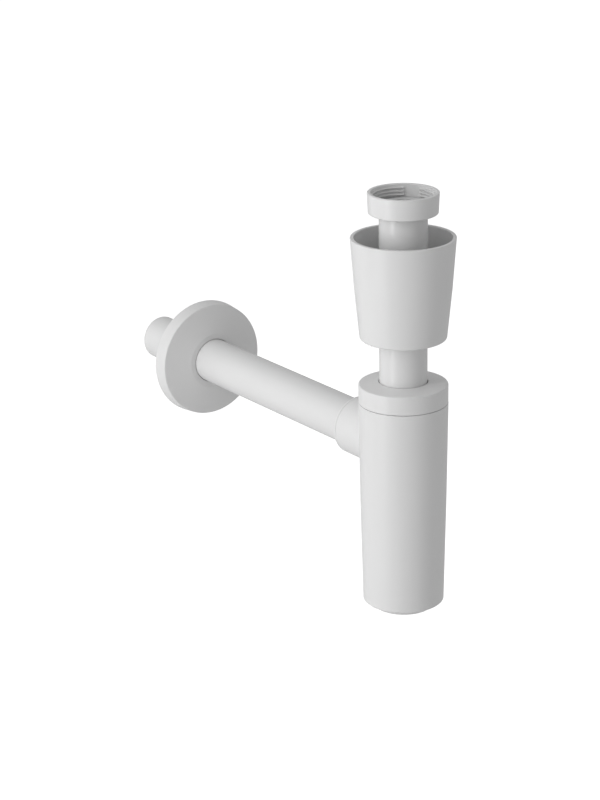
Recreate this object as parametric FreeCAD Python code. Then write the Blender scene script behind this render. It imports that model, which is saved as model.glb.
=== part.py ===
import FreeCAD, Part
import math
import os

from FreeCAD import Vector

# Dip tube trap for a washbasin, in millimetres.
# The dip tube stands on the Z axis and the outlet runs along +Y, to the wall.
# The origin is on the inlet's axis at the first turn of its thread. Each DROP is a depth below the nut's rim.

# Both pipes
PIPE_R = 16.0
PIPE_WALL = 1.8
PIPE_END_CHAMFER = 0.6

# Clearances between pieces that move on each other
SLIDE_GAP = 0.3
GRIP_GAP = 0.05
FACE_GAP = 0.05
SCREW_GAP = 0.9

# Inlet nut, with a pipe thread of 1 1/4 inch cut into three lands
THREAD_MAJOR_R = 20.955
THREAD_PITCH = 2.309
THREAD_HALF_ANGLE = 27.5
THREAD_LENGTH = 6.2
THREAD_START_ANGLE = 180.0
THREAD_LANDS = 3
THREAD_BREAK_ANGLE = 30.0
THREAD_BREAK_AT = 35.5
NUT_TOP_R = 23.6
NUT_FOOT_R = 23.0
NUT_HEIGHT = 14.0
NUT_MOUTH_DEPTH = 2.2
NUT_SHOULDER = 2.0
NUT_BORE_GAP = 0.5
NUT_CHAMFER = 0.4

# Dip tube and inlet gasket
COLLAR_THICKNESS = 1.5
GASKET_THICKNESS = 1.7
GASKET_WIDTH = 4.6
DIP_TUBE_OFF_FLOOR = 20.2

# Cover hood
HOOD_DROP = 30.1
HOOD_HEIGHT = 68.8
HOOD_TOP_R = 34.8
HOOD_FOOT_R = 28.85
HOOD_BULGE = 0.42
HOOD_WALL = 2.5
HOOD_FLOOR = 2.4
HOOD_FOOT_ROUNDING = 1.5
HOOD_RIM_CHAMFER = 0.3
HOOD_HUB_WALL = 1.7
HOOD_HUB_HEIGHT = 8.0

# Rubber rings that grip a pipe
GRIP_RING_WIDTH = 2.2
GRIP_RING_HEIGHT = 2.6
GRIP_RING_CHAMFER = 0.5

# Cap nut and the seals below it
CAP_DROP = 130.5
CAP_HEIGHT = 12.65
CAP_INSET = 0.1
CAP_PLATE = 2.4
CAP_WALL = 2.2
CAP_HOLE_GAP = 0.5
CAP_CROWN = 1.7
CAP_ROUNDING = 1.0
SEAM_GAP = 0.25
SEAM_CHAMFER = 0.3
SLIP_RING_THICKNESS = 1.0
SLIP_RING_WIDTH = 8.0
SEAL_HEIGHT = 5.4
SEAL_TOP_WIDTH = 5.4
SEAL_FOOT_WIDTH = 2.5
SEAL_STAND = 0.2
CARRIER_FLANGE = 1.6
CARRIER_WALL = 1.9
CARRIER_DEPTH = 10.0
CARRIER_GUIDE_WALL = 1.8
NECK_GASKET_THICKNESS = 1.2

# Trap body
BODY_OVER_PIPE = 14.0
BODY_TAPER = 2.6
BODY_BULGE = 0.25
BODY_FOOT_DROP = 285.5
BODY_WALL = 2.8
BODY_FLOOR = 3.0
BODY_FOOT_CHAMFER = 0.8
NECK_WALL = 2.4

# Branch and outlet pipe
OUTLET_DROP = 174.3
BRANCH_OVER_PIPE = 4.24
BRANCH_LENGTH = 19.2
BRANCH_STOP = 1.2
OUTLET_SEAL_WIDTH = 2.4
OUTLET_SEAL_LENGTH = 4.6
OUTLET_SEAL_BACK = 3.0
OUTLET_CAP_LENGTH = 2.3
OUTLET_CAP_CHAMFER = 0.6
OUTLET_CAP_SEAM = 0.1
OUTLET_PIPE_PLAY = 2.5
OUTLET_PIPE_END_Y = 300.1
DEPTH_MARK_WIDTH = 1.0
DEPTH_MARK_DEPTH = 0.3
DEPTH_MARK_BACK = 1.2

# Wall rosette
WALL_Y = 241.4
ROSETTE_THICKNESS = 10.7
ROSETTE_FRONT_R = 41.6
ROSETTE_BACK_R = 42.6
ROSETTE_WALL = 2.0
ROSETTE_ROUNDING = 0.9
ROSETTE_CROWN = 2.1
ROSETTE_HUB_WALL = 1.6
ROSETTE_HUB_LENGTH = 7.6
ROSETTE_LIP_WIDTH = 2.8
ROSETTE_LIP_SLOPE = 0.3
ROSETTE_LIP_HEIGHT = 0.5

# Base plug
PLUG_HEAD_R = 21.0
PLUG_HEAD_HEIGHT = 4.2
PLUG_HEAD_CHAMFER = 1.0
PLUG_SHANK_R = 16.9
PLUG_SHANK_HEIGHT = 7.4
PLUG_WALL = 2.4
PLUG_COLLAR_WALL = 2.6
PLUG_COLLAR_HEIGHT = 5.0
PLUG_SEAL_WIDTH = 2.0
PLUG_SEAL_THICKNESS = 1.2
PLUG_SLOT_LENGTH = 25.0
PLUG_SLOT_WIDTH = 3.0
PLUG_SLOT_DEPTH = 1.6

# Radii and heights that follow from the sizes above
PIPE_BORE_R = PIPE_R - PIPE_WALL
GRIP_R = PIPE_R + GRIP_GAP
GUIDE_R = PIPE_R + SLIDE_GAP
RING_SEAT_R = GRIP_R + GRIP_RING_WIDTH

THREAD_DEPTH = 0.6403 * THREAD_PITCH
THREAD_MINOR_R = THREAD_MAJOR_R - THREAD_DEPTH
NUT_MOUTH_R = THREAD_MAJOR_R + 0.2
THREAD_TOP_Z = 0.0
THREAD_FOOT_Z = THREAD_TOP_Z - THREAD_LENGTH
RIM_Z = THREAD_TOP_Z + NUT_MOUTH_DEPTH
NUT_FOOT_Z = RIM_Z - NUT_HEIGHT
NUT_SHOULDER_Z = NUT_FOOT_Z + NUT_SHOULDER
COLLAR_FOOT_Z = NUT_SHOULDER_Z + FACE_GAP
COLLAR_TOP_Z = COLLAR_FOOT_Z + COLLAR_THICKNESS
COLLAR_R = THREAD_MINOR_R - SLIDE_GAP

HOOD_TOP_Z = RIM_Z - HOOD_DROP
HOOD_FOOT_Z = HOOD_TOP_Z - HOOD_HEIGHT
HOOD_HUB_R = RING_SEAT_R + HOOD_HUB_WALL

BODY_TOP_R = PIPE_R + BODY_OVER_PIPE
BODY_FOOT_R = BODY_TOP_R - BODY_TAPER
BRANCH_R = PIPE_R + BRANCH_OVER_PIPE

CAP_TOP_Z = RIM_Z - CAP_DROP
CAP_FOOT_Z = CAP_TOP_Z - CAP_HEIGHT
CAP_PLATE_Z = CAP_TOP_Z - CAP_PLATE
CAP_R = BODY_TOP_R - CAP_INSET
CAP_BORE_R = CAP_R - CAP_WALL
CAP_HOLE_R = PIPE_R + CAP_HOLE_GAP
SLIP_RING_R = PIPE_R + SLIP_RING_WIDTH
SLIP_RING_TOP_Z = CAP_PLATE_Z - FACE_GAP
SEAL_TOP_R = PIPE_R + SEAL_TOP_WIDTH
SEAL_FOOT_R = PIPE_R + SEAL_FOOT_WIDTH
SEAL_TOP_Z = SLIP_RING_TOP_Z - SLIP_RING_THICKNESS - FACE_GAP
SEAL_FOOT_Z = SEAL_TOP_Z - SEAL_HEIGHT
CARRIER_TOP_Z = SEAL_TOP_Z - SEAL_STAND
CARRIER_FLANGE_Z = CARRIER_TOP_Z - CARRIER_FLANGE
CARRIER_FOOT_Z = CARRIER_FLANGE_Z - CARRIER_DEPTH
NECK_TOP_Z = CARRIER_FLANGE_Z - NECK_GASKET_THICKNESS
NECK_R = CAP_BORE_R - SCREW_GAP
NECK_BORE_R = NECK_R - NECK_WALL
CARRIER_R = NECK_BORE_R - SLIDE_GAP

BODY_TOP_Z = CAP_FOOT_Z - SEAM_GAP
BODY_FOOT_Z = RIM_Z - BODY_FOOT_DROP
BODY_FLOOR_Z = BODY_FOOT_Z + BODY_FLOOR
DIP_TUBE_END_Z = BODY_FLOOR_Z + DIP_TUBE_OFF_FLOOR
OUTLET_Z = RIM_Z - OUTLET_DROP
SOCKET_R = PIPE_R + SLIDE_GAP
SOCKET_FLOOR_Y = BODY_TOP_R + BRANCH_STOP
BRANCH_END_Y = BODY_TOP_R + BRANCH_LENGTH
OUTLET_SEAL_END_Y = BRANCH_END_Y - OUTLET_SEAL_BACK
OUTLET_SEAL_R = GRIP_R + OUTLET_SEAL_WIDTH
OUTLET_SEAL_START_Y = OUTLET_SEAL_END_Y - OUTLET_SEAL_LENGTH
OUTLET_PIPE_START_Y = SOCKET_FLOOR_Y + OUTLET_PIPE_PLAY
ROSETTE_FRONT_Y = WALL_Y - ROSETTE_THICKNESS
ROSETTE_HUB_R = RING_SEAT_R + ROSETTE_HUB_WALL

PLUG_TOP_Z = BODY_FOOT_Z - FACE_GAP
PLUG_HOLE_R = PLUG_SHANK_R + SCREW_GAP
PLUG_SEAL_R = PLUG_HOLE_R + 0.4
PLUG_COLLAR_Z = BODY_FLOOR_Z + PLUG_COLLAR_HEIGHT

ORIGIN = Vector(0, 0, 0)
ACROSS = Vector(1, 0, 0)
UP = Vector(0, 0, 1)


def rounding_arc(corner, before, after, radius):
    """The start, middle and end of the arc that rounds one corner of an outline."""
    to_before = (before - corner).normalize()
    to_after = (after - corner).normalize()
    half = to_before.getAngle(to_after) / 2
    middle_way = (to_before + to_after).normalize()
    reach = radius / math.tan(half)
    centre = corner + middle_way * (radius / math.sin(half))
    return corner + to_before * reach, centre - middle_way * radius, corner + to_after * reach


def outline(corners):
    """A closed flat outline. A corner is (across, along) or (across, along, rounding)."""
    points = [Vector(corner[0], corner[1], 0) for corner in corners]
    starts, ends, edges = [], [], []
    for number, corner in enumerate(corners):
        before, point, after = points[number - 1], points[number], points[(number + 1) % len(points)]
        if len(corner) == 3:
            start, middle, end = rounding_arc(point, before, after, corner[2])
            edges.append(Part.Arc(start, middle, end).toShape())
        else:
            start = end = point
        starts.append(start)
        ends.append(end)
    for number, end in enumerate(ends):
        start = starts[(number + 1) % len(starts)]
        if end.distanceToPoint(start) > 1e-6:
            edges.append(Part.LineSegment(end, start).toShape())
    return Part.Face(Part.Wire(Part.sortEdges(edges)[0]))


def turned(corners):
    """A solid turned about the Z axis from its half section, with corners as (radius, height)."""
    face = outline(corners)
    face.rotate(ORIGIN, ACROSS, 90)
    solid = face.revolve(ORIGIN, UP, 360)
    if solid.Volume < 0:
        solid.reverse()
    return solid


def turned_to_wall(corners):
    """A solid turned about the outlet's axis, with corners as (radius, distance towards the wall)."""
    solid = turned(corners)
    solid.rotate(ORIGIN, ACROSS, -90)
    solid.translate(Vector(0, 0, OUTLET_Z))
    return solid


def sleeve(inner_r, outer_r, foot, top):
    """Half section of a plain ring or sleeve."""
    return [(inner_r, foot), (outer_r, foot), (outer_r, top), (inner_r, top)]


def grip_ring_section(foot):
    """Half section of a rubber ring whose lip, chamfered both ways, grips a pipe."""
    top = foot + GRIP_RING_HEIGHT
    return [
        (GRIP_R, foot + GRIP_RING_CHAMFER),
        (GRIP_R + GRIP_RING_CHAMFER, foot),
        (RING_SEAT_R, foot),
        (RING_SEAT_R, top),
        (GRIP_R + GRIP_RING_CHAMFER, top),
        (GRIP_R, top - GRIP_RING_CHAMFER),
    ]


def thread_groove():
    """The helical groove of the inlet thread, a little longer than the thread at both ends."""
    overcut = 0.2
    slope = math.tan(math.radians(THREAD_HALF_ANGLE))
    crest_flat = (THREAD_PITCH - 2 * THREAD_DEPTH * slope) / 2
    root_half = crest_flat / 2
    mouth_half = root_half + (THREAD_DEPTH + overcut) * slope
    start = THREAD_FOOT_Z - mouth_half - 0.05
    height = THREAD_LENGTH + 2 * mouth_half + 0.1
    inner_r = THREAD_MINOR_R - overcut
    corners = [
        Vector(inner_r, 0, -mouth_half),
        Vector(THREAD_MAJOR_R, 0, -root_half),
        Vector(THREAD_MAJOR_R, 0, root_half),
        Vector(inner_r, 0, mouth_half),
    ]
    section = Part.makePolygon(corners + corners[:1])
    path = Part.makeHelix(THREAD_PITCH, height, THREAD_MINOR_R)
    groove = Part.Wire(path).makePipeShell([section], True, True)
    groove.translate(Vector(0, 0, start))
    return groove


def thread_breaks():
    """The sectors, evenly spaced, where the inlet thread is left out."""
    foot, top = THREAD_FOOT_Z - 0.1, THREAD_TOP_Z + 0.1
    section = outline(sleeve(THREAD_MINOR_R - 1, NUT_MOUTH_R, foot, top))
    section.rotate(ORIGIN, ACROSS, 90)
    section.rotate(ORIGIN, UP, -THREAD_BREAK_ANGLE / 2)
    sector = section.revolve(ORIGIN, UP, THREAD_BREAK_ANGLE)
    breaks = []
    for land in range(THREAD_LANDS):
        copy = sector.copy()
        copy.rotate(ORIGIN, UP, 360.0 / THREAD_LANDS * land)
        breaks.append(copy)
    return breaks


def inlet_union_nut():
    """Round nut that screws on the waste. It hangs on the dip tube's collar."""
    nut = turned([
        (PIPE_R + NUT_BORE_GAP, NUT_FOOT_Z),
        (NUT_FOOT_R - NUT_CHAMFER, NUT_FOOT_Z),
        (NUT_FOOT_R, NUT_FOOT_Z + NUT_CHAMFER),
        (NUT_TOP_R, RIM_Z - NUT_CHAMFER),
        (NUT_TOP_R - NUT_CHAMFER, RIM_Z),
        (NUT_MOUTH_R + NUT_CHAMFER, RIM_Z),
        (NUT_MOUTH_R, RIM_Z - NUT_CHAMFER),
        (NUT_MOUTH_R, THREAD_TOP_Z),
        (THREAD_MINOR_R, THREAD_TOP_Z),
        (THREAD_MINOR_R, THREAD_FOOT_Z),
        (NUT_MOUTH_R, THREAD_FOOT_Z),
        (NUT_MOUTH_R, NUT_SHOULDER_Z),
        (PIPE_R + NUT_BORE_GAP, NUT_SHOULDER_Z),
    ])
    nut = nut.cut(thread_groove())
    nut.rotate(ORIGIN, UP, THREAD_START_ANGLE)
    for sector in thread_breaks():
        nut = nut.cut(sector)
    nut.rotate(ORIGIN, UP, THREAD_BREAK_AT)
    return nut


def inlet_gasket():
    """Flat rubber washer on the collar, which the waste is pressed against."""
    outer_r = COLLAR_R
    return turned(sleeve(outer_r - GASKET_WIDTH, outer_r, COLLAR_TOP_Z, COLLAR_TOP_Z + GASKET_THICKNESS))


def dip_tube():
    """Straight pipe with a collar at its top, open at both ends."""
    return turned([
        (PIPE_BORE_R, DIP_TUBE_END_Z),
        (PIPE_R - PIPE_END_CHAMFER, DIP_TUBE_END_Z),
        (PIPE_R, DIP_TUBE_END_Z + PIPE_END_CHAMFER),
        (PIPE_R, COLLAR_FOOT_Z),
        (COLLAR_R, COLLAR_FOOT_Z),
        (COLLAR_R, COLLAR_TOP_Z),
        (PIPE_BORE_R, COLLAR_TOP_Z),
    ])


def hood_grip_ring_foot():
    return HOOD_FOOT_Z + HOOD_FLOOR + (HOOD_HUB_HEIGHT - GRIP_RING_HEIGHT) / 2


def cover_hood():
    """Tapered sleeve, open at the top, that slides up the dip tube over the nut and the waste."""
    floor_z = HOOD_FOOT_Z + HOOD_FLOOR
    hub_top = floor_z + HOOD_HUB_HEIGHT
    lean = (HOOD_TOP_R - HOOD_FOOT_R) / HOOD_HEIGHT
    inner_foot_r = HOOD_FOOT_R + lean * HOOD_FLOOR - HOOD_WALL
    groove = hood_grip_ring_foot()
    return turned([
        (GUIDE_R, HOOD_FOOT_Z),
        (HOOD_FOOT_R, HOOD_FOOT_Z, HOOD_FOOT_ROUNDING),
        ((HOOD_TOP_R + HOOD_FOOT_R) / 2 + HOOD_BULGE, (HOOD_TOP_Z + HOOD_FOOT_Z) / 2),
        (HOOD_TOP_R, HOOD_TOP_Z - HOOD_RIM_CHAMFER),
        (HOOD_TOP_R - HOOD_RIM_CHAMFER, HOOD_TOP_Z),
        (HOOD_TOP_R - HOOD_WALL + HOOD_RIM_CHAMFER, HOOD_TOP_Z),
        (HOOD_TOP_R - HOOD_WALL, HOOD_TOP_Z - HOOD_RIM_CHAMFER),
        ((HOOD_TOP_R + HOOD_FOOT_R) / 2 + HOOD_BULGE - HOOD_WALL, (HOOD_TOP_Z + HOOD_FOOT_Z) / 2),
        (inner_foot_r, floor_z),
        (HOOD_HUB_R, floor_z),
        (HOOD_HUB_R, hub_top),
        (GUIDE_R, hub_top),
        (GUIDE_R, groove + GRIP_RING_HEIGHT),
        (RING_SEAT_R, groove + GRIP_RING_HEIGHT),
        (RING_SEAT_R, groove),
        (GUIDE_R, groove),
    ])


def hood_grip_ring():
    """Rubber ring in the hood's hub, which holds the hood where it is pushed."""
    return turned(grip_ring_section(hood_grip_ring_foot()))


def cap_nut():
    """Flush nut at the top of the trap. It presses the slip ring and the seal on the dip tube."""
    return turned([
        (CAP_BORE_R, CAP_FOOT_Z),
        (CAP_R - SEAM_CHAMFER, CAP_FOOT_Z),
        (CAP_R, CAP_FOOT_Z + SEAM_CHAMFER),
        (CAP_R, CAP_TOP_Z, CAP_ROUNDING),
        (CAP_HOLE_R, CAP_TOP_Z + CAP_CROWN),
        (CAP_HOLE_R, CAP_PLATE_Z),
        (CAP_BORE_R, CAP_PLATE_Z),
    ])


def slip_ring():
    """Hard washer that lets the cap nut turn without dragging the seal round."""
    foot = SLIP_RING_TOP_Z - SLIP_RING_THICKNESS
    return turned(sleeve(CAP_HOLE_R, SLIP_RING_R, foot, SLIP_RING_TOP_Z))


def dip_tube_seal():
    """Rubber cone that the cap nut wedges between its carrier and the dip tube."""
    return turned([
        (GRIP_R, SEAL_FOOT_Z),
        (SEAL_FOOT_R, SEAL_FOOT_Z),
        (SEAL_TOP_R, SEAL_TOP_Z),
        (GRIP_R, SEAL_TOP_Z),
    ])


def seal_carrier():
    """Insert in the mouth of the trap, with the cone seat and the guide for the dip tube."""
    seat_top_r = SEAL_TOP_R + FACE_GAP
    seat_foot_r = SEAL_FOOT_R + FACE_GAP
    seat_foot_z = SEAL_FOOT_Z - FACE_GAP
    web_z = seat_foot_z - CARRIER_WALL
    guide_r = GUIDE_R + CARRIER_GUIDE_WALL
    return turned([
        (GUIDE_R, CARRIER_FOOT_Z),
        (guide_r, CARRIER_FOOT_Z),
        (guide_r, web_z),
        (CARRIER_R - CARRIER_WALL, web_z),
        (CARRIER_R - CARRIER_WALL, CARRIER_FOOT_Z),
        (CARRIER_R, CARRIER_FOOT_Z),
        (CARRIER_R, CARRIER_FLANGE_Z),
        (NECK_R, CARRIER_FLANGE_Z),
        (NECK_R, CARRIER_TOP_Z),
        (seat_top_r, CARRIER_TOP_Z),
        (seat_foot_r, seat_foot_z),
        (GUIDE_R, seat_foot_z),
    ])


def neck_gasket():
    """Flat rubber ring between the carrier's flange and the mouth of the trap."""
    return turned(sleeve(CARRIER_R, NECK_R, NECK_TOP_Z, CARRIER_FLANGE_Z))


def body_radius(z):
    """Outside radius of the tapered trap body at a height. The taper is a little fuller at half height."""
    share = (BODY_TOP_Z - z) / (BODY_TOP_Z - BODY_FOOT_Z)
    fullness = BODY_BULGE * (1 - abs(2 * share - 1))
    return BODY_TOP_R + (BODY_FOOT_R - BODY_TOP_R) * share + fullness


def trap_body():
    """Cup with a threaded neck, a side branch with a push-in socket and a plugged base."""
    inside_top_z = BODY_TOP_Z - BODY_WALL
    half_way_z = (BODY_TOP_Z + BODY_FOOT_Z) / 2
    shell = turned([
        (0, BODY_FOOT_Z),
        (BODY_FOOT_R - BODY_FOOT_CHAMFER, BODY_FOOT_Z),
        (BODY_FOOT_R, BODY_FOOT_Z + BODY_FOOT_CHAMFER),
        (body_radius(half_way_z), half_way_z),
        (BODY_TOP_R, BODY_TOP_Z - SEAM_CHAMFER),
        (BODY_TOP_R - SEAM_CHAMFER, BODY_TOP_Z),
        (NECK_R, BODY_TOP_Z),
        (NECK_R, NECK_TOP_Z),
        (0, NECK_TOP_Z),
    ])
    cavity = turned([
        (0, BODY_FLOOR_Z),
        (body_radius(BODY_FLOOR_Z) - BODY_WALL, BODY_FLOOR_Z),
        (body_radius(half_way_z) - BODY_WALL, half_way_z),
        (body_radius(inside_top_z) - BODY_WALL, inside_top_z),
        (NECK_BORE_R, BODY_TOP_Z),
        (NECK_BORE_R, NECK_TOP_Z + 1),
        (0, NECK_TOP_Z + 1),
    ])
    branch = turned_to_wall([
        (0, 0),
        (BRANCH_R, 0),
        (BRANCH_R, BRANCH_END_Y),
        (0, BRANCH_END_Y),
    ])
    waterway = turned_to_wall([
        (0, 0),
        (PIPE_BORE_R, 0),
        (PIPE_BORE_R, SOCKET_FLOOR_Y),
        (SOCKET_R, SOCKET_FLOOR_Y),
        (SOCKET_R, OUTLET_SEAL_START_Y),
        (OUTLET_SEAL_R, OUTLET_SEAL_START_Y),
        (OUTLET_SEAL_R, BRANCH_END_Y + 1),
        (0, BRANCH_END_Y + 1),
    ])
    collar = turned(sleeve(PLUG_HOLE_R, PLUG_HOLE_R + PLUG_COLLAR_WALL, BODY_FOOT_Z + 1, PLUG_COLLAR_Z))
    hole_height = PLUG_COLLAR_HEIGHT + 2 * BODY_FLOOR
    plug_hole = Part.makeCylinder(PLUG_HOLE_R, hole_height, Vector(0, 0, BODY_FOOT_Z - 1))
    body = shell.fuse(branch).cut(cavity).cut(waterway)
    return body.fuse(collar).cut(plug_hole).removeSplitter()


def plug_seal_foot():
    return PLUG_TOP_Z - PLUG_SEAL_THICKNESS


def base_plug():
    """Clean-out plug in the base, turned with a coin, hollow above."""
    shank_top = PLUG_TOP_Z + PLUG_SHANK_HEIGHT
    hollow_z = PLUG_TOP_Z - PLUG_HEAD_HEIGHT + PLUG_SLOT_DEPTH + PLUG_WALL / 2
    foot_z = PLUG_TOP_Z - PLUG_HEAD_HEIGHT
    plug = turned([
        (0, foot_z),
        (PLUG_HEAD_R - PLUG_HEAD_CHAMFER, foot_z),
        (PLUG_HEAD_R, foot_z + PLUG_HEAD_CHAMFER),
        (PLUG_HEAD_R, PLUG_TOP_Z),
        (PLUG_SEAL_R + PLUG_SEAL_WIDTH, PLUG_TOP_Z),
        (PLUG_SEAL_R + PLUG_SEAL_WIDTH, plug_seal_foot()),
        (PLUG_SEAL_R, plug_seal_foot()),
        (PLUG_SEAL_R, PLUG_TOP_Z),
        (PLUG_SHANK_R, PLUG_TOP_Z),
        (PLUG_SHANK_R, shank_top),
        (PLUG_SHANK_R - PLUG_WALL, shank_top),
        (PLUG_SHANK_R - PLUG_WALL, hollow_z),
        (0, hollow_z),
    ])
    slot = Part.makeBox(PLUG_SLOT_LENGTH, PLUG_SLOT_WIDTH, PLUG_SLOT_DEPTH + 1)
    slot.translate(Vector(-PLUG_SLOT_LENGTH / 2, -PLUG_SLOT_WIDTH / 2, foot_z - 1))
    return plug.cut(slot)


def base_plug_seal():
    """Flat rubber ring in the plug's head, pressed against the base."""
    return turned(sleeve(PLUG_SEAL_R, PLUG_SEAL_R + PLUG_SEAL_WIDTH, plug_seal_foot(), PLUG_TOP_Z))


def outlet_seal():
    """Rubber lip ring in the branch, which seals on the outlet pipe."""
    start, end = OUTLET_SEAL_START_Y, OUTLET_SEAL_END_Y
    lip = OUTLET_SEAL_LENGTH / 3
    return turned_to_wall([
        (GRIP_R, start),
        (OUTLET_SEAL_R, start),
        (OUTLET_SEAL_R, end),
        (GRIP_R + OUTLET_SEAL_WIDTH / 2, end),
        (GRIP_R, end - lip),
    ])


def outlet_seal_cap():
    """Ring that snaps into the end of the branch and holds the outlet's seal. It leaves a fine seam."""
    spigot_r = OUTLET_SEAL_R - FACE_GAP
    start = OUTLET_SEAL_END_Y + FACE_GAP
    seam = BRANCH_END_Y + OUTLET_CAP_SEAM
    end = seam + OUTLET_CAP_LENGTH
    return turned_to_wall([
        (SOCKET_R, start),
        (spigot_r, start),
        (spigot_r, seam),
        (BRANCH_R, seam),
        (BRANCH_R, end - OUTLET_CAP_CHAMFER),
        (BRANCH_R - OUTLET_CAP_CHAMFER, end),
        (SOCKET_R, end),
    ])


def outlet_pipe():
    """Straight pipe from the branch through the rosette into the wall, with a ring that marks its depth."""
    start, end = OUTLET_PIPE_START_Y, OUTLET_PIPE_END_Y
    mark = WALL_Y + DEPTH_MARK_BACK
    return turned_to_wall([
        (PIPE_BORE_R, start),
        (PIPE_R - PIPE_END_CHAMFER, start),
        (PIPE_R, start + PIPE_END_CHAMFER),
        (PIPE_R, mark),
        (PIPE_R - DEPTH_MARK_DEPTH, mark),
        (PIPE_R - DEPTH_MARK_DEPTH, mark + DEPTH_MARK_WIDTH),
        (PIPE_R, mark + DEPTH_MARK_WIDTH),
        (PIPE_R, end - PIPE_END_CHAMFER),
        (PIPE_R - PIPE_END_CHAMFER, end),
        (PIPE_BORE_R, end),
    ])


def rosette_ring_foot():
    return ROSETTE_FRONT_Y + ROSETTE_WALL + (ROSETTE_HUB_LENGTH - ROSETTE_WALL - GRIP_RING_HEIGHT) / 2


def rosette_face_y(radius):
    """Where the rosette's shallow cone of a face lies, on the outlet's axis, at a radius."""
    share = (ROSETTE_FRONT_R - radius) / (ROSETTE_FRONT_R - GUIDE_R)
    return ROSETTE_FRONT_Y - ROSETTE_CROWN * share


def wall_rosette():
    """Flared disc, hollow behind, that covers the hole in the wall."""
    hub_end = ROSETTE_FRONT_Y + ROSETTE_HUB_LENGTH
    ring = rosette_ring_foot()
    lip_r = GUIDE_R + ROSETTE_LIP_WIDTH
    lip_foot_r = lip_r + ROSETTE_LIP_SLOPE
    inner_r = ROSETTE_FRONT_R - ROSETTE_WALL
    return turned_to_wall([
        (GUIDE_R, rosette_face_y(GUIDE_R) - ROSETTE_LIP_HEIGHT),
        (lip_r, rosette_face_y(lip_r) - ROSETTE_LIP_HEIGHT),
        (lip_foot_r, rosette_face_y(lip_foot_r)),
        (ROSETTE_FRONT_R, ROSETTE_FRONT_Y, ROSETTE_ROUNDING),
        (ROSETTE_BACK_R, WALL_Y),
        (ROSETTE_BACK_R - ROSETTE_WALL, WALL_Y),
        (inner_r, rosette_face_y(inner_r) + ROSETTE_WALL),
        (ROSETTE_HUB_R, rosette_face_y(ROSETTE_HUB_R) + ROSETTE_WALL),
        (ROSETTE_HUB_R, hub_end),
        (GUIDE_R, hub_end),
        (GUIDE_R, ring + GRIP_RING_HEIGHT),
        (RING_SEAT_R, ring + GRIP_RING_HEIGHT),
        (RING_SEAT_R, ring),
        (GUIDE_R, ring),
    ])


def rosette_grip_ring():
    """Rubber ring in the rosette's hub, which keeps the rosette against the wall."""
    return turned_to_wall(grip_ring_section(rosette_ring_foot()))


PIECES = [
    inlet_union_nut,
    inlet_gasket,
    dip_tube,
    cover_hood,
    hood_grip_ring,
    cap_nut,
    slip_ring,
    dip_tube_seal,
    seal_carrier,
    neck_gasket,
    trap_body,
    base_plug,
    base_plug_seal,
    outlet_seal,
    outlet_seal_cap,
    outlet_pipe,
    wall_rosette,
    rosette_grip_ring,
]

os.makedirs("parts", exist_ok=True)
for piece in PIECES:
    piece().exportStep("parts/" + piece.__name__ + ".step")
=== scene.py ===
import math

import bmesh
import bpy
from mathutils import Matrix, Vector


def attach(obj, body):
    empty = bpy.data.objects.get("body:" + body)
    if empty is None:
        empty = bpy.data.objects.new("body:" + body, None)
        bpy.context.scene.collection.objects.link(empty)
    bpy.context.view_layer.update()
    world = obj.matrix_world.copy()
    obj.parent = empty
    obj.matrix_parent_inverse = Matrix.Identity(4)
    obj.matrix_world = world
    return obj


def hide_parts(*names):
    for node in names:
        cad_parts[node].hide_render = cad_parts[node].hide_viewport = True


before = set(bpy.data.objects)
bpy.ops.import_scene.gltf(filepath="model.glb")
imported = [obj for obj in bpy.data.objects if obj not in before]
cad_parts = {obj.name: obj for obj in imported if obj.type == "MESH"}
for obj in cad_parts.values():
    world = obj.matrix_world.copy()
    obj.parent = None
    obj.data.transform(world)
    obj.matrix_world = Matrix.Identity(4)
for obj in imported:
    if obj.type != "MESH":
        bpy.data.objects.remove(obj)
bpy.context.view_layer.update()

# Camera, at the photograph's viewing angle
CAMERA_AZIMUTH = -35.41
CAMERA_ELEVATION = 19.39
CAMERA_ROLL = -0.89
CAMERA_DISTANCE = 1.60546
CAMERA_ACROSS = -0.06867
CAMERA_UP = 0.00817
CAMERA_AIM = Vector((0.0, 0.0, -0.1478))
CAMERA_LENS = 108.56
CAMERA_REACH = 50.0
SENSOR_WIDTH = 36.0

# Light from the world, and soft lamps: name, azimuth and elevation seen from the object, width, height, power
WORLD_LIGHT = 0.61
LAMP_DISTANCE = 1.6
LAMP_AIM = Vector((0.0, 0.06, -0.14))
LAMPS = [
    ("key_lamp", -87.4, 8.0, 0.55, 2.0, 13.6),
    ("side_lamp", -133.0, 8.0, 2.1, 2.0, 4.7),
    ("high_lamp", -90.0, 50.0, 1.0, 1.0, 2.5),
]

# Floor
FLOOR_Z = -0.62
FLOOR_HALF = 4.0
FLOOR_TONE = 0.86
FLOOR_GLOW = 0.65

# Softened edges
WELD_DISTANCE = 2e-6
FLAT_ANGLE = 0.25
EDGE_ANGLE = 35.0
EDGE_STEPS = 3

# A noise runs mostly between these two values
NOISE_LOW = 0.3
NOISE_HIGH = 0.7

# Moulded pieces, each with its tone, its roughness and the width of its softened edges. The plug is a
# little darker than the other pieces.
MOULDED = {
    "inlet_union_nut": (0.72, 0.295, 0.00030),
    "cover_hood": (0.72, 0.295, 0.00030),
    "cap_nut": (0.72, 0.295, 0.00020),
    "trap_body": (0.72, 0.295, 0.00025),
    "base_plug": (0.71, 0.295, 0.00025),
    "outlet_seal_cap": (0.72, 0.295, 0.00008),
    "wall_rosette": (0.72, 0.295, 0.00025),
}
MOULDED_TONE_SPREAD = 0.003
MOULDED_SEED = 1

# Extruded pipes, each with the axis it is drawn along
PIPES = {"dip_tube": 2, "outlet_pipe": 1}
PIPE_TONES = (0.715, 0.72)
PIPE_ROUGHNESS = 0.24
PIPE_SEED = 11

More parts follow.
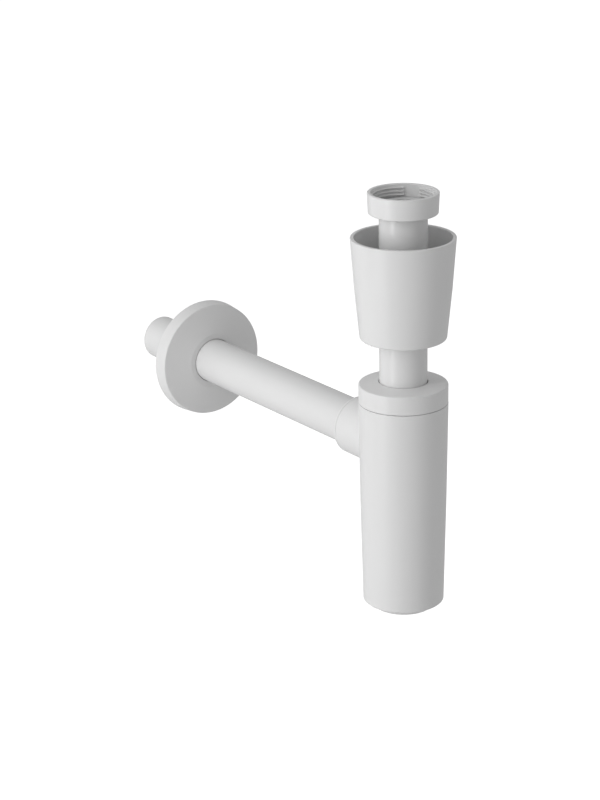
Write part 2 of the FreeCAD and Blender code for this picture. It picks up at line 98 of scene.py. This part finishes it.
# Plastic
PLASTIC_IOR = 1.49
PLASTIC_SHIFT = (0.37, 0.61, 0.23)
CLOUD_SCALE = 21.0
CLOUD_DETAIL = 3.0
GRAIN_SCALE = 2400.0
GRAIN_DEPTH = 4e-7
LINE_SCALE = 700.0
LINE_STRETCH = 0.02
GLOSS_SPREAD = 0.01
MILKY_DEPTH = 0.002

# Uncoloured plastic of the inner pieces
NATURAL_PIECES = ("slip_ring", "seal_carrier")
NATURAL_DARK = (0.68, 0.67, 0.62)
NATURAL_LIGHT = (0.74, 0.73, 0.69)
NATURAL_ROUGHNESS = 0.42
NATURAL_GRAIN_DEPTH = 1e-5
NATURAL_MILK = 0.5
NATURAL_SEED = 21

# Rubber
RUBBER_IOR = 1.5
RUBBER_SHIFT = (0.41, 0.19, 0.53)
PATCH_SCALE = 90.0
PATCH_DETAIL = 4.0
RUBBER_GRAIN_SCALE = 3200.0
RUBBER_GRAIN_DETAIL = 3.0
RUBBER_GRAIN_DEPTH = 3e-5
RUBBER_GLOSS_SPREAD = 0.06
RUBBER_BREAKUP = 0.6
LIGHT_RUBBER_TONES = (0.63, 0.68)
LIGHT_RUBBER_ROUGHNESS = 0.55
LIGHT_RUBBER_SEED = 31
BLACK_RUBBER_PIECES = (
    "hood_grip_ring", "dip_tube_seal", "neck_gasket", "base_plug_seal", "outlet_seal", "rosette_grip_ring",
)
BLACK_RUBBER_DARK = (0.018, 0.018, 0.019)
BLACK_RUBBER_LIGHT = (0.035, 0.035, 0.036)
BLACK_RUBBER_ROUGHNESS = 0.62
BLACK_RUBBER_SEED = 41

# Screw threads: the piece that carries each, its body, the radius of its wall and of its crest, the pitch,
# the heights of its ends and its lead in turns. Each pair shares a pitch and lies half a turn apart.
THREADS = {
    "neck_thread": ("trap_body", "trap", 0.0268, 0.0275, 0.0030, -0.1404, -0.1356, 0.0),
    "cap_thread": ("cap_nut", "cap_nut", 0.0277, 0.0270, 0.0030, -0.1398, -0.1352, 0.5),
    "plug_thread": ("base_plug", "base_plug", 0.0169, 0.0176, 0.0025, -0.2824, -0.2767, 0.0),
    "collar_thread": ("trap_body", "trap", 0.0178, 0.0171, 0.0025, -0.2824, -0.2760, 0.5),
}
THREAD_FOOT_HALF = 0.34
THREAD_CREST_HALF = 0.09
THREAD_RUN_OUT = 0.12
THREAD_END_FULLNESS = 0.05
THREAD_STEPS = 72
THREAD_BURY = 0.00015

# The rosette, turned about the outlet's axis: radii, and places along the outlet
OUTLET_Z = -0.1721
DISC_BORE_R = 0.0163
DISC_BORE_CHAMFER = 0.0002
DISC_LIP_SINK = 0.0002
DISC_LIP_R = 0.0202
DISC_LIP_Y = 0.2273
DISC_FRONT_R = 0.0416
DISC_FRONT_Y = 0.2307
DISC_ROUNDING = 0.0009
DISC_ROUNDING_STEPS = 6
DISC_BACK_R = 0.0426
DISC_BACK_Y = 0.2414
DISC_WALL = 0.0020
DISC_HUB_R = 0.01985
DISC_HUB_END_Y = 0.2383
DISC_SEAT_R = 0.01825
DISC_SEAT_START_Y = 0.2342
DISC_SEAT_END_Y = 0.2368
DISC_STEPS = 192
DISC_CREASE_ANGLE = 5.0


def grey(tone):
    return (tone, tone, tone)


def direction(azimuth, elevation):
    """Unit vector from the object. Azimuth 0 is towards -Y and 90 is towards +X."""
    azimuth, elevation = math.radians(azimuth), math.radians(elevation)
    return Vector((
        math.sin(azimuth) * math.cos(elevation),
        -math.cos(azimuth) * math.cos(elevation),
        math.sin(elevation),
    ))


def add_object(name, data):
    made = bpy.data.objects.new(name, data)
    bpy.context.scene.collection.objects.link(made)
    return made


class Shader:
    """A material's node tree, with short calls for the nodes used here."""

    def __init__(self, name):
        self.material = bpy.data.materials.new(name)
        self.material.use_nodes = True
        self.tree = self.material.node_tree
        self.tree.nodes.clear()
        self.output = self.tree.nodes.new("ShaderNodeOutputMaterial")

    def node(self, kind, **settings):
        made = self.tree.nodes.new(kind)
        for key, value in settings.items():
            setattr(made, key, value)
        return made

    def link(self, source, target):
        self.tree.links.new(source, target)

    def place(self, stretch, shift):
        """Coordinates fixed to the piece, stretched and shifted."""
        where = self.node("ShaderNodeTexCoord")
        mapping = self.node("ShaderNodeMapping")
        mapping.inputs["Location"].default_value = shift
        mapping.inputs["Scale"].default_value = stretch
        self.link(where.outputs["Object"], mapping.inputs["Vector"])
        return mapping.outputs["Vector"]

    def noise(self, vector, scale, detail=2.0, roughness=0.5):
        made = self.node("ShaderNodeTexNoise")
        made.inputs["Scale"].default_value = scale
        made.inputs["Detail"].default_value = detail
        made.inputs["Roughness"].default_value = roughness
        self.link(vector, made.inputs["Vector"])
        return made.outputs["Fac"]

    def spread(self, value, low, high):
        """The middle of a noise, stretched to run from low to high."""
        made = self.node("ShaderNodeMapRange")
        made.inputs["From Min"].default_value = NOISE_LOW
        made.inputs["From Max"].default_value = NOISE_HIGH
        made.inputs["To Min"].default_value = low
        made.inputs["To Max"].default_value = high
        self.link(value, made.inputs["Value"])
        return made.outputs["Result"]

    def tones(self, value, dark, light):
        made = self.node("ShaderNodeValToRGB")
        made.color_ramp.elements[0].position = NOISE_LOW
        made.color_ramp.elements[1].position = NOISE_HIGH
        made.color_ramp.elements[0].color = (*dark, 1)
        made.color_ramp.elements[1].color = (*light, 1)
        self.link(value, made.inputs["Fac"])
        return made.outputs["Color"]

    def bump(self, height, depth, before=None):
        made = self.node("ShaderNodeBump")
        made.inputs["Strength"].default_value = 1.0
        made.inputs["Distance"].default_value = depth
        self.link(height, made.inputs["Height"])
        if before is not None:
            self.link(before, made.inputs["Normal"])
        return made.outputs["Normal"]


def plastic(name, dark, light, roughness, seed, grain_depth=GRAIN_DEPTH, draw_axis=None, milk=0.0):
    """Satin plastic with clouds in its tone and gloss. An extruded one has fine lines along its axis."""
    shader = Shader(name)
    shift = tuple(seed * part for part in PLASTIC_SHIFT)
    even = shader.place((1, 1, 1), shift)
    clouds = shader.noise(even, CLOUD_SCALE, CLOUD_DETAIL)
    surface = shader.node("ShaderNodeBsdfPrincipled")
    surface.inputs["IOR"].default_value = PLASTIC_IOR
    surface.inputs["Subsurface Weight"].default_value = milk
    surface.inputs["Subsurface Radius"].default_value = (1.0, 1.0, 1.0)
    surface.inputs["Subsurface Scale"].default_value = MILKY_DEPTH
    gloss = shader.spread(clouds, roughness - GLOSS_SPREAD, roughness + GLOSS_SPREAD)
    shader.link(shader.tones(clouds, dark, light), surface.inputs["Base Color"])
    shader.link(gloss, surface.inputs["Roughness"])
    fine = shader.bump(shader.noise(even, GRAIN_SCALE), grain_depth)
    if draw_axis is not None:
        stretch = [1.0, 1.0, 1.0]
        stretch[draw_axis] = LINE_STRETCH
        lines = shader.noise(shader.place(stretch, shift), LINE_SCALE)
        fine = shader.bump(lines, grain_depth, fine)
    shader.link(fine, surface.inputs["Normal"])
    shader.link(surface.outputs["BSDF"], shader.output.inputs["Surface"])
    return shader.material


def rubber(name, dark, light, roughness, seed):
    """Matt rubber with a fine grain and a few duller patches."""
    shader = Shader(name)
    even = shader.place((1, 1, 1), tuple(seed * part for part in RUBBER_SHIFT))
    patches = shader.noise(even, PATCH_SCALE, PATCH_DETAIL, RUBBER_BREAKUP)
    grain = shader.noise(even, RUBBER_GRAIN_SCALE, RUBBER_GRAIN_DETAIL, RUBBER_BREAKUP)
    surface = shader.node("ShaderNodeBsdfPrincipled")
    surface.inputs["IOR"].default_value = RUBBER_IOR
    gloss = shader.spread(patches, roughness - RUBBER_GLOSS_SPREAD, roughness + RUBBER_GLOSS_SPREAD)
    shader.link(shader.tones(patches, dark, light), surface.inputs["Base Color"])
    shader.link(gloss, surface.inputs["Roughness"])
    shader.link(shader.bump(grain, RUBBER_GRAIN_DEPTH), surface.inputs["Normal"])
    shader.link(surface.outputs["BSDF"], shader.output.inputs["Surface"])
    return shader.material


def dress(name, material):
    """Gives a CAD node its material."""
    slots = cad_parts[name].data.materials
    slots.clear()
    slots.append(material)


def round_edges(piece, width, keep_sharp):
    """Rounds a piece's sharp edges and shades its faces evenly."""
    bevel = piece.modifiers.new("bevel", "BEVEL")
    bevel.limit_method = "ANGLE"
    bevel.angle_limit = math.radians(EDGE_ANGLE)
    bevel.width = width
    bevel.segments = EDGE_STEPS
    normals = piece.modifiers.new("normals", "WEIGHTED_NORMAL")
    normals.keep_sharp = keep_sharp


def soften(name, width):
    """Rounds the sharp edges of a CAD node, as a mould does, and leaves the node's own vertices alone."""
    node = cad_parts[name]
    if "custom_normal" in node.data.attributes:
        node.data.attributes.remove(node.data.attributes["custom_normal"])
    for face in node.data.polygons:
        face.use_smooth = True
    weld = node.modifiers.new("weld", "WELD")
    weld.merge_threshold = WELD_DISTANCE
    flat = node.modifiers.new("flat", "DECIMATE")
    flat.decimate_type = "DISSOLVE"
    flat.angle_limit = math.radians(FLAT_ANGLE)
    round_edges(node, width, keep_sharp=False)


def dress_pieces():
    """Gives every CAD node its material, and the moulded ones their softened edges."""
    for number, (piece, (tone, roughness, edge)) in enumerate(MOULDED.items()):
        dark = grey(tone - MOULDED_TONE_SPREAD)
        light = grey(tone + MOULDED_TONE_SPREAD)
        dress(piece, plastic(piece, dark, light, roughness, number + MOULDED_SEED))
        soften(piece, edge)

    dark, light = map(grey, PIPE_TONES)
    for number, (piece, axis) in enumerate(PIPES.items()):
        dress(piece, plastic(piece, dark, light, PIPE_ROUGHNESS, number + PIPE_SEED, draw_axis=axis))

    natural = plastic(
        "natural_plastic", NATURAL_DARK, NATURAL_LIGHT, NATURAL_ROUGHNESS, NATURAL_SEED,
        grain_depth=NATURAL_GRAIN_DEPTH, milk=NATURAL_MILK,
    )
    for piece in NATURAL_PIECES:
        dress(piece, natural)

    dark, light = map(grey, LIGHT_RUBBER_TONES)
    dress("inlet_gasket", rubber("light_rubber", dark, light, LIGHT_RUBBER_ROUGHNESS, LIGHT_RUBBER_SEED))

    black = rubber(
        "black_rubber", BLACK_RUBBER_DARK, BLACK_RUBBER_LIGHT, BLACK_RUBBER_ROUGHNESS, BLACK_RUBBER_SEED,
    )
    for piece in BLACK_RUBBER_PIECES:
        dress(piece, black)


def join_rings(mesh, before, after):
    """Faces between two rings of vertices that follow the same closed outline."""
    for corner in range(len(before)):
        following = (corner + 1) % len(before)
        mesh.faces.new((before[corner], before[following], after[following], after[corner]))


def add_piece(name, mesh, carrier, body, sharp_angle):
    """Turns a finished bmesh into a moulded piece with its carrier's material, which rides on a body."""
    bmesh.ops.recalc_face_normals(mesh, faces=mesh.faces)
    data = bpy.data.meshes.new(name)
    mesh.to_mesh(data)
    mesh.free()
    for face in data.polygons:
        face.use_smooth = True
    data.set_sharp_from_angle(angle=math.radians(sharp_angle))
    data.materials.append(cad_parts[carrier].data.materials[0])
    piece = add_object(name, data)
    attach(piece, body)
    return piece


def make_thread(name, carrier, body, wall_r, crest_r, pitch, low_z, high_z, lead):
    """A right-handed ridge that winds round the Z axis and runs out at both ends."""
    foot_half, crest_half = THREAD_FOOT_HALF * pitch, THREAD_CREST_HALF * pitch
    buried_r = wall_r - math.copysign(THREAD_BURY, crest_r - wall_r)
    turns = (high_z - low_z) / pitch
    steps = round(turns * THREAD_STEPS)
    mesh = bmesh.new()
    rings = []
    for step in range(steps + 1):
        turn = turns * step / steps
        height = low_z + pitch * turn
        angle = 2 * math.pi * (height / pitch + lead)
        fullness = min(1.0, max(THREAD_END_FULLNESS, min(turn, turns - turn) / THREAD_RUN_OUT))
        top_r = buried_r + (crest_r - buried_r) * fullness
        outline = [(buried_r, -foot_half), (top_r, -crest_half), (top_r, crest_half), (buried_r, foot_half)]
        rings.append([
            mesh.verts.new((radius * math.cos(angle), radius * math.sin(angle), height + offset))
            for radius, offset in outline
        ])
    for before, after in zip(rings, rings[1:]):
        join_rings(mesh, before, after)
    mesh.faces.new(rings[0])
    mesh.faces.new(rings[-1])
    add_piece(name, mesh, carrier, body, EDGE_ANGLE)


def rounded_corner(before, corner, after, radius, steps):
    """Points on the arc that touches both runs of an outline at a corner."""
    before, corner, after = Vector(before), Vector(corner), Vector(after)
    way_in = (before - corner).normalized()
    way_out = (after - corner).normalized()
    half = way_in.angle(way_out) / 2
    reach = radius / math.tan(half)
    centre = corner + (way_in + way_out).normalized() * (radius / math.sin(half))
    first = corner + way_in * reach - centre
    last = corner + way_out * reach - centre
    spokes = [first.lerp(last, step / steps).normalized() for step in range(steps + 1)]
    return [tuple(centre + spoke * radius) for spoke in spokes]


def make_rosette():
    """The flared disc at the wall, with a shallow cone of a face and a flatter lip round the pipe."""
    lip = (DISC_LIP_R, DISC_LIP_Y)
    front = (DISC_FRONT_R, DISC_FRONT_Y)
    back = (DISC_BACK_R, DISC_BACK_Y)
    outline = [
        (DISC_BORE_R, DISC_LIP_Y + DISC_LIP_SINK + DISC_BORE_CHAMFER),
        (DISC_BORE_R + DISC_BORE_CHAMFER, DISC_LIP_Y + DISC_LIP_SINK),
        lip,
        *rounded_corner(lip, front, back, DISC_ROUNDING, DISC_ROUNDING_STEPS),
        back,
        (DISC_BACK_R - DISC_WALL, DISC_BACK_Y),
        (DISC_FRONT_R - DISC_WALL, DISC_FRONT_Y + DISC_WALL),
        (DISC_HUB_R, DISC_LIP_Y + DISC_WALL),
        (DISC_HUB_R, DISC_HUB_END_Y),
        (DISC_BORE_R, DISC_HUB_END_Y),
        (DISC_BORE_R, DISC_SEAT_END_Y),
        (DISC_SEAT_R, DISC_SEAT_END_Y),
        (DISC_SEAT_R, DISC_SEAT_START_Y),
        (DISC_BORE_R, DISC_SEAT_START_Y),
    ]
    mesh = bmesh.new()
    rings = []
    for step in range(DISC_STEPS):
        angle = 2 * math.pi * step / DISC_STEPS
        across, above = math.cos(angle), math.sin(angle)
        rings.append([
            mesh.verts.new((radius * across, place, OUTLET_Z + radius * above)) for radius, place in outline
        ])
    for step in range(DISC_STEPS):
        join_rings(mesh, rings[step], rings[(step + 1) % DISC_STEPS])
    rosette = add_piece("rosette_disc", mesh, "wall_rosette", "rosette", DISC_CREASE_ANGLE)
    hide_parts("wall_rosette")
    edge = MOULDED["wall_rosette"][2]
    round_edges(rosette, edge, keep_sharp=True)


def make_floor():
    """Pale floor well below the trap, which hangs. From below it is clear, so that it hides nothing."""
    low, high = -FLOOR_HALF, FLOOR_HALF
    corners = [(low, low, FLOOR_Z), (high, low, FLOOR_Z), (high, high, FLOOR_Z), (low, high, FLOOR_Z)]
    mesh = bpy.data.meshes.new("floor")
    mesh.from_pydata(corners, [], [(0, 1, 2, 3)])
    floor = add_object("floor", mesh)

    shader = Shader("floor")
    matt = shader.node("ShaderNodeBsdfDiffuse")
    matt.inputs["Color"].default_value = (*grey(FLOOR_TONE), 1)
    glow = shader.node("ShaderNodeEmission")
    ray = shader.node("ShaderNodeLightPath")
    strength = shader.node("ShaderNodeMath", operation="MULTIPLY")
    strength.inputs[1].default_value = FLOOR_GLOW
    shader.link(ray.outputs["Is Camera Ray"], strength.inputs[0])
    shader.link(strength.outputs["Value"], glow.inputs["Strength"])
    both = shader.node("ShaderNodeAddShader")
    shader.link(matt.outputs["BSDF"], both.inputs[0])
    shader.link(glow.outputs["Emission"], both.inputs[1])
    clear = shader.node("ShaderNodeBsdfTransparent")
    side = shader.node("ShaderNodeNewGeometry")
    choice = shader.node("ShaderNodeMixShader")
    shader.link(side.outputs["Backfacing"], choice.inputs["Fac"])
    shader.link(both.outputs["Shader"], choice.inputs[1])
    shader.link(clear.outputs["BSDF"], choice.inputs[2])
    shader.link(choice.outputs["Shader"], shader.output.inputs["Surface"])
    mesh.materials.append(shader.material)


def make_world():
    """White behind the object, and a dimmer even light on it."""
    world = bpy.data.worlds.new("world")
    bpy.context.scene.world = world
    world.use_nodes = True
    tree = world.node_tree
    tree.nodes.clear()
    ray = tree.nodes.new("ShaderNodeLightPath")
    seen = tree.nodes.new("ShaderNodeMath")
    seen.operation = "ADD"
    seen.use_clamp = True
    tree.links.new(ray.outputs["Is Camera Ray"], seen.inputs[0])
    tree.links.new(ray.outputs["Is Transmission Ray"], seen.inputs[1])
    strength = tree.nodes.new("ShaderNodeMapRange")
    strength.inputs["To Min"].default_value = WORLD_LIGHT
    strength.inputs["To Max"].default_value = 1.0
    tree.links.new(seen.outputs["Value"], strength.inputs["Value"])
    background = tree.nodes.new("ShaderNodeBackground")
    tree.links.new(strength.outputs["Result"], background.inputs["Strength"])
    output = tree.nodes.new("ShaderNodeOutputWorld")
    tree.links.new(background.outputs["Background"], output.inputs["Surface"])


def make_lamp(name, azimuth, elevation, width, height, power):
    way = direction(azimuth, elevation)
    data = bpy.data.lights.new(name, "AREA")
    data.shape = "RECTANGLE"
    data.size = width
    data.size_y = height
    data.energy = power
    lamp = add_object(name, data)
    lamp.location = LAMP_AIM + way * LAMP_DISTANCE
    lamp.rotation_euler = way.to_track_quat("Z", "Y").to_euler()


def make_camera():
    roll = math.radians(CAMERA_ROLL)
    back = direction(CAMERA_AZIMUTH, CAMERA_ELEVATION)
    level_right = (-back).cross(Vector((0, 0, 1))).normalized()
    level_up = level_right.cross(-back)
    right = level_right * math.cos(roll) + level_up * math.sin(roll)
    up = level_up * math.cos(roll) - level_right * math.sin(roll)
    place = CAMERA_AIM + back * CAMERA_DISTANCE + level_right * CAMERA_ACROSS + level_up * CAMERA_UP

    data = bpy.data.cameras.new("camera")
    data.lens = CAMERA_LENS
    data.sensor_width = SENSOR_WIDTH
    data.clip_end = CAMERA_REACH
    camera = add_object("camera", data)
    rotation = Matrix((right, up, back)).transposed()
    camera.matrix_world = Matrix.Translation(place) @ rotation.to_4x4()
    bpy.context.scene.camera = camera


dress_pieces()
for thread_name, thread_sizes in THREADS.items():
    make_thread(thread_name, *thread_sizes)
make_rosette()
make_camera()
make_floor()
make_world()
for lamp_sizes in LAMPS:
    make_lamp(*lamp_sizes)
bpy.context.scene.view_settings.view_transform = "Standard"
